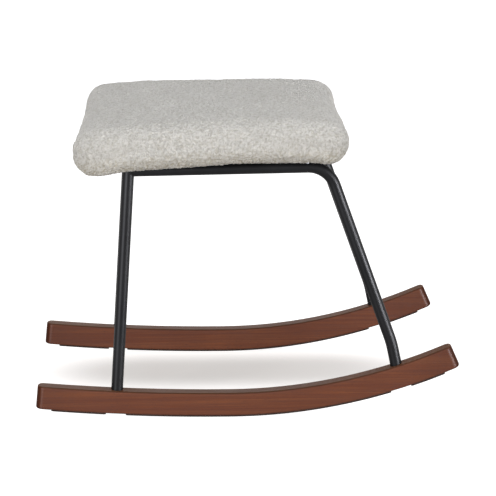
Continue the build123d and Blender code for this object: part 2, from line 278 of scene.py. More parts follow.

# %% [markdown]
# ## Stained wood for the rockers
#
# The rockers are a close-grained hardwood, stained reddish brown and lacquered satin.
# The grain runs straight along the board while the rocker is cut in a curve from it, so
# the streaks read the X coordinate.  On the small rounds between the faces the wood is
# painted darker, as painted shade, and such a place is known by its normal, which points
# partly across (Y) there and fully across, or not at all, on the faces.  End grain, whose
# normal points along X, drinks more lacquer, so it is duller; it is darker partly from the
# staining it soaks up and partly as painted shade, and the faces near the ends are painted
# darker as painted shade.  The upper faces, which point up, are painted darker and more
# olive, as painted shade and sheen.

# %% Rocker wood
def make_rocker_wood():
    """Stained colour in three depths by bands and streaks; painted shade on rounds, near the ends, on
    upper faces and partly on end grain; pores dip.
    """
    material, tree, surface = new_material("rocker_wood")
    where = place(tree, "TexCoord")
    marks = use_group(tree, grain, Place=where.outputs["Object"], Streak_width=0.0016)
    cloud = use_group(tree, cloudiness, Place=where.outputs["Object"], Size=0.07).outputs[0]
    deep, middle, light = colour(92, 48, 31), colour(114, 62, 39), colour(130, 75, 46)
    stain_and_shade = mix_colour(tree, marks.outputs["Bands"], middle, light)
    darker = calculate(tree, "MULTIPLY", marks.outputs["Streaks"], 0.55)
    stain_and_shade = mix_colour(tree, darker, stain_and_shade, deep)
    stain_and_shade = mix_colour(tree, calculate(tree, "MULTIPLY", cloud, 0.25), stain_and_shade, deep)
    pores = calculate(tree, "MULTIPLY", marks.outputs["Pores"], 0.35)
    stain_and_shade = mix_colour(tree, pores, stain_and_shade, colour(60, 34, 25))
    facing = place(tree, "SeparateXYZ", {0: where.outputs["Normal"]})
    along = calculate(tree, "ABSOLUTE", facing.outputs["X"])
    across = calculate(tree, "ABSOLUTE", facing.outputs["Y"])
    # Painted shade: the small rounds between the faces are darkened.
    rising = stretch(tree, across, 0.08, 0.45)
    falling = stretch(tree, across, 0.72, 0.97, 1.0, 0.0)
    edge = calculate(tree, "MULTIPLY", rising, falling)
    stain_and_shade = mix_colour(tree, calculate(tree, "MULTIPLY", edge, 0.7), stain_and_shade, colour(62, 36, 26))
    # End grain is darker partly from the staining it soaks up and partly as painted shade.
    end_grain_and_shade = calculate(tree, "MULTIPLY", stretch(tree, along, 0.3, 0.8), 0.6)
    stain_and_shade = mix_colour(tree, end_grain_and_shade, stain_and_shade, colour(58, 33, 24))
    # Painted shade: the faces near both ends are darkened.
    station = place(tree, "SeparateXYZ", {0: where.outputs["Object"]}).outputs["X"]
    painted_end_shade = stretch(tree, calculate(tree, "ABSOLUTE", station), 0.19, 0.29, 0.0, 0.35)
    stain_and_shade = mix_colour(tree, painted_end_shade, stain_and_shade, colour(74, 36, 20))
    # Painted shade and sheen: faces that point up turn darker and olive.
    above = stretch(tree, facing.outputs["Z"], 0.6, 0.95, 0.0, 0.5)
    stain_and_shade = mix_colour(tree, above, stain_and_shade, colour(84, 60, 36))
    dips = calculate(
        tree,
        "ADD",
        calculate(tree, "MULTIPLY", marks.outputs["Streaks"], 0.4),
        calculate(tree, "MULTIPLY", marks.outputs["Pores"], -1.0),
    )
    relief = place(tree, "Bump", {"Height": dips, "Strength": 0.25, "Distance": 0.0003})
    gloss = stretch(tree, marks.outputs["Streaks"], 0.0, 1.0, 0.40, 0.52)
    shine = stretch(tree, along, 0.15, 0.5, 0.1, 0.02)
    feed(tree, surface, Base_Color=stain_and_shade, Roughness=gloss, Normal=relief.outputs["Normal"])
    feed(tree, surface, Specular_IOR_Level=shine, Coat_Weight=shine)
    settle(surface, Coat_IOR=1.3, Coat_Roughness=0.4)
    return material


rocker_wood = make_rocker_wood()
finish_with(rocker_wood, nodes["left_rocker"], nodes["right_rocker"])

# %% [markdown]
# ## Black powder coat for the frame
#
# Powder coat melts into a skin with a very fine, low ripple.  A noise with cells of about
# a millimetre, bumped by a few hundredths of one, breaks the highlight up just enough.

# %% Frame paint
def make_frame_paint():
    """Nearly black, with faint lighter specks; the gloss drifts and the skin ripples."""
    material, tree, surface = new_material("frame_paint")
    where = place(tree, "TexCoord").outputs["Object"]
    cloud = use_group(tree, cloudiness, Place=where, Size=0.06).outputs[0]
    ripple = place(tree, "TexNoise", {"Vector": where, "Scale": 900.0, "Detail": 2.0})
    speck = place(tree, "TexNoise", {"Vector": where, "Scale": 2400.0, "Detail": 1.0})
    shade = mix_colour(tree, cloud, colour(15, 15, 17), colour(20, 20, 22))
    light_specks = stretch(tree, speck.outputs[0], 0.62, 0.78, 0.0, 0.35)
    shade = mix_colour(tree, light_specks, shade, colour(40, 40, 44))
    relief = place(
        tree, "Bump", {"Height": ripple.outputs[0], "Strength": 0.35, "Distance": 0.00012}
    )
    gloss = stretch(tree, cloud, 0.0, 1.0, 0.40, 0.46)
    feed(tree, surface, Base_Color=shade, Roughness=gloss, Normal=relief.outputs["Normal"])
    settle(surface, Specular_IOR_Level=0.09)
    return material


frame_paint = make_frame_paint()
painted = [
    nodes[entry["node"]]
    for entry in frame["record"]["subparts"]
    if entry["material_slot"] == "frame_paint"
]
finish_with(frame_paint, *painted)
print("painted pieces:", len(painted))

# %% [markdown]
# ## Zinc on the fasteners, felt under the rockers, plywood inside
#
# Zinc plating is a metal with a slightly bluish, patchy gloss.  Felt is dark, dull and
# full of crossed fibres.  The seat's board is bare plywood: grain on its faces and, on
# its edge, the layers, which turn light and dark every millimetre and a half of height.

# %% Zinc, felt and plywood
def make_zinc():
    """A metal whose colour and gloss drift in patches."""
    material, tree, surface = new_material("zinc")
    where = place(tree, "TexCoord").outputs["Object"]
    patches = place(tree, "TexVoronoi", {"Vector": where, "Scale": 700.0})
    cloud = use_group(tree, cloudiness, Place=where, Size=0.01).outputs[0]
    shade = mix_colour(tree, patches.outputs["Distance"], colour(176, 178, 182), colour(202, 203, 205))
    gloss = stretch(tree, cloud, 0.0, 1.0, 0.26, 0.42)
    relief = place(
        tree, "Bump", {"Height": patches.outputs["Distance"], "Strength": 0.1, "Distance": 0.0001}
    )
    feed(tree, surface, Base_Color=shade, Roughness=gloss, Normal=relief.outputs["Normal"])
    settle(surface, Metallic=1.0)
    return material


def make_felt():
    """Dull dark brown, lighter where a fibre lies on top."""
    material, tree, surface = new_material("felt")
    where = place(tree, "TexCoord").outputs["Object"]
    threads = use_group(tree, fibres, Place=where, Length=0.003).outputs[0]
    shade = mix_colour(tree, threads, colour(44, 30, 24), colour(72, 52, 42))
    relief = place(tree, "Bump", {"Height": threads, "Strength": 0.6, "Distance": 0.0004})
    feed(tree, surface, Base_Color=shade, Normal=relief.outputs["Normal"])
    settle(surface, Roughness=0.95, Specular_IOR_Level=0.1, Sheen_Weight=0.05)
    return material


def make_plywood():
    """Pale grain on the faces; layers of light and dark by height on the edge."""
    material, tree, surface = new_material("plywood")
    where = place(tree, "TexCoord")
    marks = use_group(tree, grain, Place=where.outputs["Object"], Streak_length=0.14)
    shade = mix_colour(tree, marks.outputs["Streaks"], colour(206, 178, 138), colour(184, 150, 108))
    height = place(tree, "SeparateXYZ", {0: where.outputs["Object"]}).outputs["Z"]
    layers = calculate(tree, "SINE", calculate(tree, "MULTIPLY", height, 2 * math.pi / 0.003))
    up = place(tree, "SeparateXYZ", {0: where.outputs["Normal"]}).outputs["Z"]
    on_edge = stretch(tree, calculate(tree, "ABSOLUTE", up), 0.2, 0.8, 0.6, 0.0)
    dark = calculate(tree, "MULTIPLY", stretch(tree, layers, -0.2, 0.2), on_edge)
    shade = mix_colour(tree, dark, shade, colour(140, 100, 64))
    relief = place(
        tree, "Bump", {"Height": marks.outputs["Pores"], "Strength": 0.3, "Distance": 0.0003}
    )
    feed(tree, surface, Base_Color=shade, Normal=relief.outputs["Normal"])
    settle(surface, Roughness=0.7)
    return material


finishes = {"fastener_steel": make_zinc(), "glide_felt": make_felt(), "board_plywood": make_plywood()}
for entry in frame["record"]["subparts"]:
    if entry["material_slot"] in finishes:
        finish_with(finishes[entry["material_slot"]], nodes[entry["node"]])

# %% [markdown]
# ## The line that the seat follows
#
# The seat is level in front and bends down a little at the rear, so it is easiest to
# think of it flat, by a station along the seat and a height above it, and to bend it at
# the end: level, then an arc, then straight again.

# %% Seat line
bend_start = 0.020
bend_radius = 1.5
bend_angle = math.radians(3.4)
rim_height = 0.3545
seat_thickness = 0.0595
seat_crown = 0.0035


def together(*parts):
    """Numbers and arrays side by side, as the last axis of one array."""
    return np.stack(np.broadcast_arrays(*parts), axis=-1)


def on_seat(station, y, height):
    """Bend flat seat coordinates into place.

    Behind the bend's start the seat turns by station / radius, up to the bend's angle,
    and goes on straight from there; height is measured square to it.
    """
    turn = np.clip(-station / bend_radius, 0, bend_angle)
    beyond = np.maximum(-station - bend_radius * bend_angle, 0)
    x = bend_start + np.maximum(station, 0) - bend_radius * np.sin(turn)
    x = x - beyond * np.cos(turn) - height * np.sin(turn)
    z = rim_height - bend_radius * (1 - np.cos(turn)) - beyond * np.sin(turn)
    z = z + height * np.cos(turn)
    return together(x, y, z)


def height_on_seat(points):
    """The other way round, closely enough for a slight bend: the height of placed points."""
    station = points[:, 0] - bend_start
    turn = np.clip(-station / bend_radius, 0, bend_angle)
    return (points[:, 2] - on_seat(station, 0.0, 0.0)[:, 2]) * np.cos(turn)


# %% [markdown]
# ## Meshes from grids
#
# A surface here is a function of two parameters, worked out for a whole grid at once.
# One helper turns such a grid of points into a mesh; a grid can close on itself either
# way, as a tube does one way and a ring does both ways.

# %% Mesh helpers
def full_turn(count):
    """Even angles once round, from 0 to one step short of two pi."""
    return np.linspace(0, 2 * math.pi, count, endpoint=False)


def grid_faces(rows, columns, wrap_rows=False, wrap_columns=False):
    """The four corners of every cell of a grid, wrapped round where asked."""
    row = np.arange(rows if wrap_rows else rows - 1)[:, None]
    column = np.arange(columns if wrap_columns else columns - 1)[None, :]
    below, right = (row + 1) % rows, (column + 1) % columns
    corners = (row * columns + column, row * columns + right)
    corners += (below * columns + right, below * columns + column)
    return together(*corners).reshape(-1, 4)


def make_piece(name, points, faces, smooth=True):
    """A mesh object at the origin from an array of points and lists of faces."""
    mesh = bpy.data.meshes.new(name)
    mesh.from_pydata(points.reshape(-1, 3).tolist(), [], [list(face) for face in faces])
    mesh.polygons.foreach_set("use_smooth", np.full(len(mesh.polygons), smooth))
    mesh.update()
    piece = bpy.data.objects.new(name, mesh)
    scene.collection.objects.link(piece)
    return piece


def points_of(mesh):
    """All corners of a mesh as one array."""
    flat = np.empty(3 * len(mesh.vertices), np.float32)
    mesh.vertices.foreach_get("co", flat)
    return flat.reshape(-1, 3).astype(float)


def normals_of(mesh):
    """The direction outwards at all corners of a mesh."""
    flat = np.empty(3 * len(mesh.vertices), np.float32)
    mesh.vertices.foreach_get("normal", flat)
    return flat.reshape(-1, 3).astype(float)


def move_points(mesh, points):
    """Write all corners of a mesh back."""
    mesh.vertices.foreach_set("co", points.astype(np.float32).ravel())
    mesh.update()


# %% [markdown]
# ## The cushion before it is stuffed
#
# From above the cushion is a rectangle with round corners, which a superellipse gives,
# and its sides are drawn in between them.  A profile is carried round it: from the
# middle of the underside, out over the folded hem, round the rim, up the side, over the
# top edge and in to the middle of the crowned top.  Where it rises, hangs, bulges or is
# pinched, soft steps fade the change in and out, over shares of the half length or half
# width, or over places and heights in metres.  In the photograph the cover sits a little
# askew on its frame, the near side further back, so the outline is sheared.

# %% Cushion surface
cushion_middle = -0.0450
cushion_half_length = 0.1890
cushion_half_width = 0.2105
corner_sharpness = 8.5
end_draw = 0.0095
side_draw = 0.0020
hem_width = 0.028
hem_depth = 0.0115
rim_round = 0.019
top_round = 0.023
slack = 0.0021
far_rise = 0.0045
rear_droop = 0.0096
front_droop = 0.0075
side_sag = 0.0020
corner_bulge = 0.0060
bulge_aside = 0.4
corner_tuck = 0.0026
rear_pinch = 0.0024
top_fall = 0.0025


def drawn_outline(angle):
    """A superellipse, |x/a|^n + |y/b|^n = 1, each side pulled in by its draw in the middle."""
    a, b, n = cushion_half_length, cushion_half_width, corner_sharpness
    cosine, sine = np.cos(angle), np.sin(angle)
    reach = (np.abs(cosine / a) ** n + np.abs(sine / b) ** n) ** (-1 / n)
    x, y = reach * cosine, reach * sine
    narrower = 1 - end_draw / a * (1 - (y / b) ** 2)
    thinner = 1 - side_draw / b * (1 - (x / a) ** 2)
    return np.stack((x * narrower, y * thinner), -1)


def plan_outline(angle, inset=0.0):
    """The drawn outline moved inwards by an inset, square to the line between its neighbours."""
    ahead = drawn_outline(angle + 1e-4) - drawn_outline(angle - 1e-4)
    outwards = np.stack((ahead[..., 1], -ahead[..., 0]), -1)
    outwards /= np.linalg.norm(outwards, axis=-1, keepdims=True)
    return drawn_outline(angle) - inset * outwards


def soft_step(value, low, high):
    """0 below low, 1 above high, and 3t^2 - 2t^3 in between."""
    t = np.clip((value - low) / (high - low), 0, 1)
    return t * t * (3 - 2 * t)


def cushion_profile():
    """Rows of (inset, height, how much of the height is the top's, share towards the middle)."""
    arc = np.linspace(0, math.pi / 2, 12)
    underside = together(hem_width, hem_depth, 0, np.linspace(1, 0, 24)[:-1])
    hem = together(hem_width, hem_depth * np.array((1.0, 0.7, 0.4, 0.1)), 0, 0)
    rim = together(rim_round * (1 - np.sin(arc)), rim_round * (1 - np.cos(arc)), 0, 0)
    top_edge = together(top_round * (1 - np.cos(arc)), -top_round * (1 - np.sin(arc)), 1, 0)
    top = together(top_round, 0, 1, np.linspace(0, 1, 41)[1:])
    return np.concatenate((underside, hem, rim, top_edge, top))


def cushion_grid(columns=720):
    """Carry the profile round the outline, with the height of the top falling off across it."""
    angle = full_turn(columns)[None, :]
    inset, height, of_top, inwards = (row[:, None] for row in cushion_profile().T)
    x, y = np.moveaxis(plan_outline(angle, inset[..., None]), -1, 0) * (1 - inwards)
    off_middle = plan_outline(angle)[..., 1] * (1 - inwards) / cushion_half_width
    crown = seat_thickness - slack - seat_crown * off_middle**2
    rise = far_rise * soft_step(-x, -0.03, 0.11) * soft_step(y, -0.15, 0.18)
    fall = top_fall * soft_step(x / cushion_half_length, 0.5, 0.95)
    fall = fall * soft_step(np.abs(y) / cushion_half_width, 0.4, 0.9)
    z = height + of_top * (crown + rise - fall)
    return np.stack((x, y, z), -1)


def with_full_corners(points):
    """Let the rim hang near the corners, and push them out by sin^2 of the height, less a tuck
    below; the near rear edge is pinched in above."""
    x, y, z = np.moveaxis(points, -1, 0)
    along, across = np.abs(x) / cushion_half_length, np.abs(y) / cushion_half_width
    at_rear, at_front = soft_step(along, 0.55, 0.93), soft_step(along, 0.70, 0.90)
    droop = np.where(x < 0, rear_droop * at_rear, front_droop * at_front)
    droop += side_sag * soft_step(-x, -0.03, 0.02)
    low = soft_step(across, 0.80, 0.98) * (1 - soft_step(z, 0.008, 0.045))
    bulge = corner_bulge * np.sin(math.pi * np.clip(z / seat_thickness, 0, 1)) ** 2
    bulge = bulge - corner_tuck * (1 - soft_step(z, 0.012, 0.040))
    bulge = bulge * soft_step(across, 0.70, 0.95) * soft_step(along, 0.60, 0.95)
    pinch = rear_pinch * soft_step(z, 0.030, 0.050) * soft_step(-y, 0.06, 0.12)
    pinch = pinch * soft_step(-x / cushion_half_length, 0.60, 0.95)
    x, y = x + np.sign(x) * bulge + pinch, y + bulge_aside * np.sign(y) * bulge
    return np.stack((x, y, z - droop * low), -1)


grid = with_full_corners(cushion_grid())
print("cushion grid:", grid.shape, "before it is bent into place")

# %% [markdown]
# ## Stuffing it with a cloth simulation
#
# Foam presses outwards against its cover.  The grid is remeshed into even cells, because
# the simulation treats every edge alike, and then inflated from a slightly smaller shape
# for twenty frames, with gravity off.  What is stapled below the board is held, and no
# point may travel further than a cap.  The simulated shape is then baked into the mesh.

# %% Simulate the stuffing
voxel = 0.0038
stuffing_pressure = 4.0
stuffing_frames = 20
furthest_travel = 0.0028
askew_rear = 0.0076
askew_front = 0.0027


def askew(points):
    """Push points along X in step with Y, more at the rear than at the front."""
    moved = points.copy()
    forwards = (points[..., 0] + cushion_half_length) / (2 * cushion_half_length)
    amount = askew_rear + (askew_front - askew_rear) * forwards
    moved[..., 0] += cushion_middle + amount * points[..., 1] / cushion_half_width
    return moved


def laid_on_frame(points):
    """Turn flat seat points askew and bend them into place."""
    moved = askew(points)
    return on_seat(moved[..., 0] - bend_start, moved[..., 1], moved[..., 2])


def work_in(piece, kind, **settings):
    """Add one modifier, work it into the mesh and take it off again."""
    modifier = piece.modifiers.new(kind.lower(), kind)
    for name, value in settings.items():
        setattr(modifier, name, value)
    graph = bpy.context.evaluated_depsgraph_get()
    worked = bpy.data.meshes.new_from_object(piece.evaluated_get(graph), depsgraph=graph)
    piece.modifiers.remove(modifier)
    piece.data = worked


def inflate(piece, held):
    """Run the cloth, then move each point by its travel, shortened smoothly to the cap."""
    group = piece.vertex_groups.new(name="held")
    for step in range(1, 11):
        chosen = np.flatnonzero(np.round(held * 10).astype(int) == step)
        group.add(chosen.tolist(), step / 10, "REPLACE")
    start = points_of(piece.data)
    cloth = piece.modifiers.new("stuffing", "CLOTH")
    cloth.settings.use_pressure = True
    cloth.settings.uniform_pressure_force = stuffing_pressure
    cloth.settings.vertex_group_mass = group.name
    cloth.settings.effector_weights.gravity = 0
    cloth.point_cache.frame_start = 1
    cloth.point_cache.frame_end = stuffing_frames
    for number in range(1, stuffing_frames + 1):
        scene.frame_set(number)
    graph = bpy.context.evaluated_depsgraph_get()
    travel = points_of(piece.evaluated_get(graph).to_mesh()) - start
    piece.modifiers.remove(cloth)
    scene.frame_set(1)
    length = np.linalg.norm(travel, axis=1, keepdims=True)
    share = furthest_travel * np.tanh(length / furthest_travel) / np.maximum(length, 1e-9)
    move_points(piece.data, start + travel * share)
    return length


bent = laid_on_frame(grid)
rows, columns = bent.shape[:2]
cushion = make_piece("seat_cushion", bent, grid_faces(rows, columns, wrap_columns=True))
work_in(cushion, "REMESH", mode="VOXEL", voxel_size=voxel)
height = height_on_seat(points_of(cushion.data))
facing_down = soft_step(-normals_of(cushion.data)[:, 2], 0.3, 0.8)
held = np.maximum(1 - soft_step(height, 0.001, 0.012), facing_down)
travel = inflate(cushion, held)
print("travel wanted, middle and most:", np.round([np.median(travel), travel.max()], 4), "m")
work_in(cushion, "SUBSURF", levels=2, render_levels=2)
print("cushion corners:", len(cushion.data.vertices))

# %% [markdown]
# ## Loops in the cover
#
# The cover is a looped fabric: its surface is a crowd of small knots of curled yarn, which
# also show in the outline as little bumps.  A knot is a round dome about a centre, and the
# centres are scattered, one in every cell of a grid that fills space.  A sum of many cosine
# waves in random directions bends that grid, so that no two knots are alike.  Low on the
# sides, under the rim, they stand out more; on the flat underside, which the next cloth
# covers, there are none.  The height of the yarn and how low a corner sits on the side are
# kept at every corner as attributes, so that the finish can paint shade exactly into the
# gaps and low on the sides.

# %% Knots in the mesh
knot_spacing = 0.0029
knot_height = 0.0014
knot_reach = 0.8
knot_scatter = 0.75
grid_bend = 0.22
bend_length = 2.2
lump_length = 0.0095
lump_height = 0.0002
swell_length = 0.060
swell_height = 0.0002


def random_waves(points, length, count, seed):
    """A random field of spread 1: cosines of the place along random directions, added up."""
    dice = np.random.default_rng(seed)
    ways = dice.normal(size=(count, 3))
    ways *= dice.uniform(0.75, 1.3, (count, 1)) / np.linalg.norm(ways, axis=1, keepdims=True)
    waves = np.cos(points @ ways.T * 2 * math.pi / length + dice.uniform(0, 2 * math.pi, count))
    return waves.sum(axis=1) / math.sqrt(count / 2)


def scattered(cells):
    """A random point near the middle of each numbered cell, from a large sine of its number."""
    mixing = np.array([[127.1, 269.5, 419.2], [311.7, 183.3, 371.9], [74.7, 246.1, 168.3]])
    return 0.5 + knot_scatter * (np.modf(np.abs(np.sin(cells @ mixing) * 43758.5453))[0] - 0.5)


def knots(points, spacing):
    """Domes, 1 - (d / reach)^2, where d is how many spacings off the nearest centre is."""
    length = bend_length * spacing
    bend = np.stack([random_waves(points, length, count=24, seed=seed) for seed in (1, 2, 3)], -1)
    places = points / spacing + grid_bend * bend
    cells = np.floor(places)
    nearest = np.full(len(points), 9.0)
    for step in np.ndindex(3, 3, 3):
        cell = cells + np.array(step) - 1
        nearest = np.minimum(nearest, ((cell + scattered(cell) - places) ** 2).sum(axis=1))
    return np.clip(1 - nearest / knot_reach**2, 0, 1)


def keep_attribute(mesh, name, values):
    """Store one number at every corner of a mesh, for its material to read."""
    mesh.attributes.new(name, "FLOAT", "POINT").data.foreach_set("value", values.astype(np.float32))


corners = points_of(cushion.data)
outwards = normals_of(cushion.data)
height = height_on_seat(corners)
yarn = knots(corners, knot_spacing)
lumps = random_waves(corners, lump_length, count=40, seed=4)
swells = random_waves(corners, swell_length, count=30, seed=5)
loose = soft_step(height, 0.0, 0.010)
# 1 low on the sides, 0 higher up: it lifts the knots there and, in the finish, marks painted shade.
low_side_and_painted_shade = 1 - soft_step(height, 0.002, 0.026)
raised = knot_height * (0.85 + 0.3 * low_side_and_painted_shade) * (yarn - 0.5)
raised += lump_height * lumps + swell_height * swells * loose
along = (corners[:, 0] - cushion_middle) / cushion_half_length
across = corners[:, 1] / cushion_half_width
off_middle = (np.abs(along) ** 8 + np.abs(across) ** 8) ** 0.125  # 0 there, 1 at the rim
inside = 1 - soft_step(off_middle, 0.85, 0.90)
raised = raised * (1 - inside * (1 - soft_step(height, 0.014, 0.020)))
move_points(cushion.data, corners + outwards * raised[:, None])
keep_attribute(cushion.data, "yarn", yarn)
keep_attribute(cushion.data, "low_side_and_painted_shade", low_side_and_painted_shade)
cushion.data.polygons.foreach_set("use_smooth", np.ones(len(cushion.data.polygons), bool))
print("raised by", np.round(1000 * np.percentile(raised, (1, 50, 99)), 2), "mm")

# %% [markdown]
# ## The looped fabric's finish
#
# The yarn is pale and dull.  Between the knots it is painted a little darker and warmer, as
# painted shade: light that reaches the gaps has bounced off pale yarn.  Low on the sides,
# under the rim, it is painted darker and yellower, most in the gaps, as painted shade too.
# The curls of a knot are finer than the mesh, so they are a bump: rings round scattered
# centres, bent by noise, with crossed fibres on them.

# %% Looped fabric
def make_looped_fabric():
    """Colour from the yarn's height, with painted shade in the gaps and low on the sides, clouds and
    curls; bump from rings |d - r| and fibres.
    """
    material, tree, surface = new_material("looped_fabric")
    where = place(tree, "TexCoord").outputs["Object"]
    height = place(tree, "Attribute", attribute_name="yarn").outputs["Fac"]
    cloud = use_group(tree, cloudiness, Place=where, Size=0.05).outputs[0]
    blotch = use_group(tree, cloudiness, Place=where, Size=0.008).outputs[0]
    threads = use_group(tree, fibres, Place=where, Length=0.0020).outputs[0]
    twist = place(tree, "TexNoise", {"Vector": where, "Scale": 420.0, "Detail": 1.0}).outputs["Color"]
    shift = place(tree, "VectorMath", {0: twist, "Scale": 0.0022}, operation="SCALE").outputs[0]
    bent = place(tree, "VectorMath", {0: where, 1: shift}, operation="ADD").outputs[0]
    cells = place(tree, "TexVoronoi", {"Vector": bent, "Scale": 330.0}).outputs["Distance"]
    ring_radius, ring_width = 0.38, 0.20
    off = calculate(tree, "ABSOLUTE", calculate(tree, "SUBTRACT", cells, ring_radius))
    curl = stretch(tree, off, 0.0, ring_width, 1.0, 0.0)
    # Painted shade: the gaps between knots are darkened and warmed.
    painted_gap_shade = stretch(tree, height, 0.05, 0.95, 1.0, 0.0)
    low_side_and_painted_shade = place(tree, "Attribute", attribute_name="low_side_and_painted_shade").outputs["Fac"]
    shade = mix_colour(tree, painted_gap_shade, colour(242, 239, 233), colour(207, 202, 191))
    for mask, most, tint in (
        (cloud, 0.2, colour(216, 212, 204)),
        (blotch, 0.12, colour(211, 206, 197)),
        (curl, 0.3, colour(244, 242, 238)),
        # Painted shade: low on the sides, and most in the gaps there, the yarn is darker and yellower.
        (low_side_and_painted_shade, 0.3, colour(219, 211, 192)),
        (calculate(tree, "MULTIPLY", low_side_and_painted_shade, painted_gap_shade), 0.5, colour(186, 172, 140)),
    ):
        shade = mix_colour(tree, calculate(tree, "MULTIPLY", mask, most), shade, tint)
    rise = calculate(tree, "ADD", curl, calculate(tree, "MULTIPLY", threads, 0.3))
    relief = place(tree, "Bump", {"Height": rise, "Strength": 1.0, "Distance": 0.0008})
    feed(tree, surface, Base_Color=shade, Normal=relief.outputs["Normal"])
    settle(surface, Roughness=0.92, Specular_IOR_Level=0.2, Sheen_Weight=0.15, Sheen_Roughness=0.6)
    return material


looped_fabric = make_looped_fabric()
finish_with(looped_fabric, cushion)
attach(cushion, "root")
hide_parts("seat_cover", "seat_foam")

# %% [markdown]
# ## The cloth below the seat
#
# A thin black non-woven cloth closes the underside.  It is stretched over the board and
# stapled, so it ripples by only a fraction of a millimetre.  The grid is the seat's
# outline again, moved in by the hem, filled by scaling it towards the middle and laid on
# the frame as askew as the cushion is.

# %% Dust cloth
cloth_edge = hem_width - 0.0012
cloth_height = 0.0058
cloth_thickness = 0.0003
cloth_ripple = 0.00008
cloth_ripple_length = 0.045


def cloth_grid(rings=60, columns=240):
    """Rings of the outline shrunk towards the middle, rippled except along the edge."""
    outline = plan_outline(full_turn(columns), cloth_edge)
    share = np.sin(np.linspace(0.02, math.pi / 2, rings))[:, None]
    x, y = np.moveaxis(outline * share[..., None], -1, 0)
    flat = together(x, y, 0.0).reshape(-1, 3)
    waves = random_waves(flat, cloth_ripple_length, count=24, seed=5)
    ripple = cloth_ripple * waves.reshape(rings, columns)
    return together(x, y, cloth_height + ripple * (1 - soft_step(share, 0.9, 1.0)))


cut = cloth_grid()
rings, columns = cut.shape[:2]
cloth_faces = grid_faces(rings, columns, wrap_columns=True)[:, ::-1].tolist()
dust_cloth = make_piece("dust_cloth", laid_on_frame(cut), [*cloth_faces, list(range(columns))])
work_in(dust_cloth, "SOLIDIFY", thickness=cloth_thickness, offset=0.0)


def make_dust_fabric():
    """Black threads pressed flat, a little lighter where they cross on top."""
    material, tree, surface = new_material("dust_fabric")
    where = place(tree, "TexCoord").outputs["Object"]
    threads = use_group(tree, fibres, Place=where, Length=0.006).outputs[0]
    cloud = use_group(tree, cloudiness, Place=where, Size=0.03).outputs[0]
    shade = mix_colour(tree, threads, colour(24, 24, 25), colour(52, 52, 54))
    shade = mix_colour(tree, calculate(tree, "MULTIPLY", cloud, 0.3), shade, colour(36, 36, 37))
    relief = place(tree, "Bump", {"Height": threads, "Strength": 0.4, "Distance": 0.0002})
    feed(tree, surface, Base_Color=shade, Normal=relief.outputs["Normal"])
    settle(surface, Roughness=0.85)
    return material


finish_with(make_dust_fabric(), dust_cloth)
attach(dust_cloth, "root")
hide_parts("dust_cover")

# %% [markdown]
# ## Staples
#
# The cover's hem and the cloth are stapled to the board all round.  A staple is a flat
# wire with its two ends turned down; one square profile carried along ten stations has
# only a few dozen faces.  Each staple lands on the fabric by casting a ray up at it.

# %% Staples
staple_length = 0.0095
staple_wire = 0.0006
staple_half_width = 0.0004
staple_scatter = 0.0008
staple_twist = 0.12
ray_height = -0.02


def staple_shape():
    """A square wire along X whose two ends turn away by a quarter of a small circle."""
    bend = np.linspace(0, math.pi / 2, 4)
    radius = 2 * staple_wire
    half = staple_length / 2 - radius
    end = np.stack((half + radius * np.sin(bend), radius * (1 - np.cos(bend))), -1)
    right = np.concatenate((end, [[half + radius, 2.2 * radius]]))
    line = np.concatenate((right[::-1] * (-1, 1), right))
    ahead = np.gradient(line, axis=0)
    ahead /= np.linalg.norm(ahead, axis=1, keepdims=True)
    outer = np.stack((ahead[:, 1], -ahead[:, 0]), -1) * staple_wire / 2
    ring = []
    for way, side in ((1, -1), (1, 1), (-1, 1), (-1, -1)):
        x, z = (line + way * outer).T
        ring.append(together(x, side * staple_half_width, z))
    count = len(line)
    faces = grid_faces(count, 4, wrap_columns=True).tolist()
    faces += [[3, 2, 1, 0], [4 * count - 4, 4 * count - 3, 4 * count - 2, 4 * count - 1]]
    return np.stack(ring, axis=1).reshape(-1, 3), faces


def even_steps(line, spacing):
    """Points at even steps along a closed line, with the direction of the line at each."""
    closed = np.concatenate((line, line[:1]))
    gone = np.concatenate(([0], np.cumsum(np.linalg.norm(np.diff(closed, axis=0), axis=1))))
    marks = np.linspace(0, gone[-1], int(gone[-1] / spacing), endpoint=False)
    at = np.stack([np.interp(marks, gone, closed[:, axis]) for axis in (0, 1)], -1)
    ahead = np.roll(at, -1, axis=0) - np.roll(at, 1, axis=0)
    return at, np.arctan2(ahead[:, 1], ahead[:, 0])


def staple_row(name, inset, spacing, seed, landed):
    """Staples along the outline at an inset, each pressed on the first face above it."""
    shape, faces = staple_shape()
    tree = BVHTree.FromPolygons(
        points_of(landed.data).tolist(), [list(face.vertices) for face in landed.data.polygons]
    )
    spots, turns = even_steps(plan_outline(full_turn(720), inset), spacing)
    dice = np.random.default_rng(seed)
    spots = spots + dice.normal(0, staple_scatter, spots.shape)
    turns = turns + dice.normal(0, staple_twist, len(turns))
    below = laid_on_frame(together(*spots.T, ray_height))
    all_points, all_faces = [], []
    for start, turn in zip(below, turns):
        spot, facing = tree.ray_cast(Vector(start), Vector((0, 0, 1)))[:2]
        if spot is None:
            continue
        up = -facing
        side = up.cross(Vector((math.cos(turn), math.sin(turn), 0))).normalized()
        axes = np.array((side.cross(up), side, up))
        all_faces += (np.array(faces) + len(all_points) * len(shape)).tolist()
        all_points.append(shape @ axes + np.array(spot))
    row = make_piece(name, np.concatenate(all_points), all_faces, smooth=False)
    finish_with(finishes["fastener_steel"], row)
    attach(row, "root")
    print(name + ":", len(all_points), "of", len(spots), "landed")


staple_row("hem_staples", inset=0.0225, spacing=0.021, seed=6, landed=cushion)
staple_row("cloth_staples", inset=0.0330, spacing=0.042, seed=7, landed=dust_cloth)

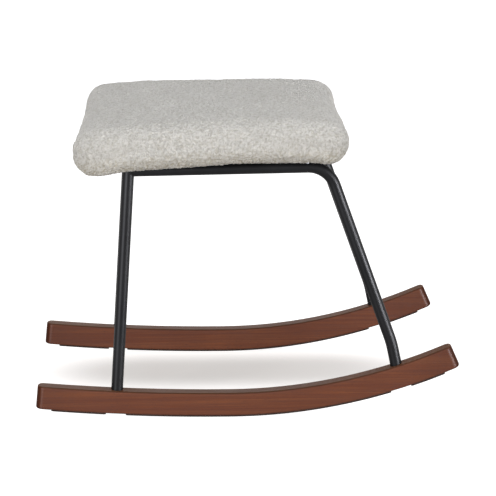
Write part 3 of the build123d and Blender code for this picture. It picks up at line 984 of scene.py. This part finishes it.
# %% [markdown]
# ## Weld beads
#
# The tubes and plates are welded before they are coated, so each joint has a low bead
# with fine ripples under the same black paint.  A bead is an oval carried along the line
# where two parts meet, and its size swells and shrinks every millimetre and a half.

# %% Weld beads
tube_radius = 0.008
side_spacing = 0.344
bead_radius = 0.0016
bead_tall = 0.8
bead_wide = 1.2
bead_sunk = 0.0009
bead_swell = 0.10
ripple_length = 0.0015
end_length = 0.0015


def bead(path, away, closed):
    """An oval round every point of a path, with rippled size, shrunk to nothing at open ends."""
    step = np.roll(path, -1, axis=0) - np.roll(path, 1, axis=0) if closed else np.gradient(path, axis=0)
    ahead = step / np.linalg.norm(step, axis=1, keepdims=True)
    away = away - ahead * (away * ahead).sum(axis=1, keepdims=True)
    away = away / np.linalg.norm(away, axis=1, keepdims=True)
    side = np.cross(ahead, away)
    gone = np.concatenate(([0], np.cumsum(np.linalg.norm(np.diff(path, axis=0), axis=1))))
    size = bead_radius * (1 + bead_swell * np.cos(2 * math.pi * gone / ripple_length))
    if not closed:
        size = size * np.sqrt(np.clip(np.minimum(gone, gone[-1] - gone) / end_length, 0.04, 1))
    turn = full_turn(10)[:, None]
    oval = bead_tall * np.cos(turn) * away[:, None] + bead_wide * np.sin(turn) * side[:, None]
    points = path[:, None] + size[:, None, None] * oval
    rows, columns = points.shape[:2]
    faces = grid_faces(rows, columns, wrap_rows=closed, wrap_columns=True).tolist()
    if not closed:
        faces += [list(range(columns))[::-1], list(range((rows - 1) * columns, rows * columns))]
    return points.reshape(-1, 3), faces


# %% Where the beads run
rear_corner = (-0.160474, 0.3420)
rail_slope = math.radians(0.8)
leg_lean = math.radians(3.5)
cross_stations = {"rear_cross_tube": -0.156, "front_cross_tube": 0.038}
plate_low = 0.0025
plate_middle = 0.140
plate_bead_half = 0.016
plate_bead_aside = 0.0046
plate_bead_sunk = 0.0008
round_tube = full_turn(160)


def mitre_path(side):
    """The oval where rail and rear leg meet, in the plane that halves their corner."""
    along_rail = np.array((math.cos(rail_slope), math.sin(rail_slope)))
    along_leg = np.array((-math.sin(leg_lean), -math.cos(leg_lean)))
    outwards = (along_rail + along_leg) / -np.linalg.norm(along_rail + along_leg)
    reach = tube_radius - bead_sunk
    stretched = reach / math.sqrt(1 - (outwards @ along_rail) ** 2)
    sine, cosine = np.sin(round_tube), np.cos(round_tube)
    x, z = (rear_corner[k] + stretched * sine * outwards[k] for k in (0, 1))
    y = side * side_spacing / 2 + reach * cosine
    away = np.stack((sine * outwards[0], cosine, sine * outwards[1]), -1)
    return np.stack((x, y, z), -1), away


def saddle_path(name, side):
    """The curve where a cross tube meets a rail: as far from the rail's axis as its radius."""
    low, high = (np.array(corner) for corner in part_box(name))
    reach = tube_radius - bead_sunk
    x = (low[0] + high[0]) / 2 + reach * np.cos(round_tube)
    z = (low[2] + high[2]) / 2 + reach * np.sin(round_tube)
    above = z - rear_corner[1] - (x - rear_corner[0]) * math.tan(rail_slope)
    inwards = np.sqrt(np.clip(tube_radius**2 - above**2, 0, None))
    y = side * (side_spacing / 2 - inwards)
    away = np.stack((np.cos(round_tube), -side * inwards / tube_radius, np.sin(round_tube)), -1)
    return np.stack((x, y, z), -1), away


def plate_path(station, y, way):
    """A short line under a plate, beside the line where it touches its cross tube."""
    across = y + np.linspace(-plate_bead_half, plate_bead_half, 90)
    path = on_seat(station + way * plate_bead_aside, across, plate_low - plate_bead_sunk)
    return path, np.broadcast_to((way * 0.7, 0, -0.7), path.shape)


beads = []
for side in (-1, 1):
    beads.append(bead(*mitre_path(side), closed=True))
    for name, station in cross_stations.items():
        beads.append(bead(*saddle_path(name, side), closed=True))
        beads += [bead(*plate_path(station, side * plate_middle, way), closed=False) for way in (-1, 1)]
starts = np.cumsum([0] + [len(points) for points, _ in beads])
bead_faces = [[c + start for c in face] for start, (_, faces) in zip(starts, beads) for face in faces]
weld_beads = make_piece("weld_beads", np.concatenate([points for points, _ in beads]), bead_faces)
finish_with(frame_paint, weld_beads)
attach(weld_beads, "root")
print("beads:", len(beads), "with", len(bead_faces), "faces")

# %% [markdown]
# ## The studio
#
# The floor is pale and matt, and so large that its far edge never shows.  It is to be white
# but for a soft, warm shadow between the rockers, so it also glows for the camera and in
# reflections, less and warmer in a long stretch between the rockers: a painted shadow, in
# which the object's real shadow then also shows.  The world is white in the same way, and
# dimmer as a light.

# %% Floor and world
floor_half = 30.0
floor_colour = (0.52, 0.505, 0.495, 1.0)
# Painted shadow: between the rockers the floor glows less, and warmer, over this stretch.
painted_shadow_middle = (-0.01, 0.055)
painted_shadow_core = (0.12, 0.0)
painted_shadow_end = (0.41, 0.168)
painted_shadow_tint = (1.0, 0.955, 0.92, 1.0)
painted_shadow_glow = 0.415
glow_far = 1.0
world_light = 0.35


def seen_directly(tree):
    """1 for rays from the camera and for reflected and transmitted ones, 0 for others."""
    rays = place(tree, "LightPath").outputs
    seen = calculate(tree, "MAXIMUM", rays["Is Camera Ray"], rays["Is Glossy Ray"])
    return calculate(tree, "MAXIMUM", seen, rays["Is Transmission Ray"])


square = np.array([(-1, -1, 0), (1, -1, 0), (1, 1, 0), (-1, 1, 0)], float) * floor_half
floor = make_piece("floor", square, [[0, 1, 2, 3]], smooth=False)
floor_material = bpy.data.materials.new("floor")
floor_material.use_nodes = True
tree = floor_material.node_tree
tree.nodes.clear()
matt = place(tree, "BsdfDiffuse", {"Color": floor_colour})
where = place(tree, "SeparateXYZ", {0: place(tree, "TexCoord").outputs["Object"]})
# Painted shadow mask: 1 in its core between the rockers, fading to 0 at its ends.
painted_shadow = 1.0
for axis in (0, 1):
    off = calculate(tree, "SUBTRACT", where.outputs[axis], painted_shadow_middle[axis])
    off = calculate(tree, "ABSOLUTE", off)
    fading = stretch(tree, off, painted_shadow_core[axis], painted_shadow_end[axis], 1.0, 0.0)
    painted_shadow = calculate(tree, "MULTIPLY", painted_shadow, fading)
strength = stretch(tree, painted_shadow, 0.0, 1.0, glow_far, painted_shadow_glow)
strength = calculate(tree, "MULTIPLY", seen_directly(tree), strength)
tint = mix_colour(tree, painted_shadow, (1.0, 1.0, 1.0, 1.0), painted_shadow_tint)
glow = place(tree, "Emission", {"Color": tint, "Strength": strength})
both = place(tree, "AddShader", {0: matt.outputs[0], 1: glow.outputs[0]})
place(tree, "OutputMaterial", {"Surface": both.outputs[0]})
finish_with(floor_material, floor)
floor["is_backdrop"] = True

world = bpy.data.worlds.new("studio")
scene.world = world
world.use_nodes = True
tree = world.node_tree
tree.nodes.clear()
strength = stretch(tree, seen_directly(tree), 0.0, 1.0, world_light, 1.0)
sky = place(tree, "Background", {"Color": (1, 1, 1, 1), "Strength": strength})
place(tree, "OutputWorld", {"Surface": sky.outputs[0]})

# %% [markdown]
# ## The lamps
#
# Two large soft boxes stand in front, left and right, and light the near side of the
# seat more than its top.  A third, weak and wide, hangs above it and lays the soft shadow
# between the rockers.  Two small lamps close to the floor only show in reflections: an
# upright tube seen from above mirrors what is low, and each draws a strip of light on it.

# %% Lamps
def soft_box(name, spot, target, size, watts, tint=(1.0, 1.0, 1.0)):
    """A square lamp at a spot, turned to face a target."""
    light = bpy.data.lights.new(name, "AREA")
    light.size = size
    light.energy = watts
    light.color = tint
    lamp = bpy.data.objects.new(name, light)
    lamp.location = spot
    lamp.rotation_euler = (Vector(target) - Vector(spot)).to_track_quat("-Z", "Y").to_euler()
    scene.collection.objects.link(lamp)
    return lamp


lamp_target = (0.0, 0.0, 0.25)
soft_box("left_box", (-2.0, -2.9, 1.05), lamp_target, size=1.0, watts=54.0)
soft_box("right_box", (2.95, -1.7, 1.0), lamp_target, size=1.0, watts=48.0)
soft_box("top_box", (0.0, 0.0, 4.0), lamp_target, size=2.5, watts=44.0, tint=(0.88, 0.92, 1.0))
strips = (
    ("left_strip", (-1.7, -2.3, 0.3), 0.4, 165.0),
    ("right_strip", (2.15, -1.65, 0.3), 0.65, 280.0),
)
for name, spot, size, watts in strips:
    strip = soft_box(name, spot, lamp_target, size, watts, tint=(0.92, 0.93, 1.0))
    strip.visible_diffuse = False

# %% [markdown]
# ## The last check
#
# The dressed object has to keep the imported model's size, so how far the low and high
# corners of its box moved from the imported model's is printed.

# %% Finish
dressed_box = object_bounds()
grown = np.array(dressed_box) - np.array(cad_box)
print("low and high corner moved by, in mm:", np.round(1000 * grown, 1).tolist())
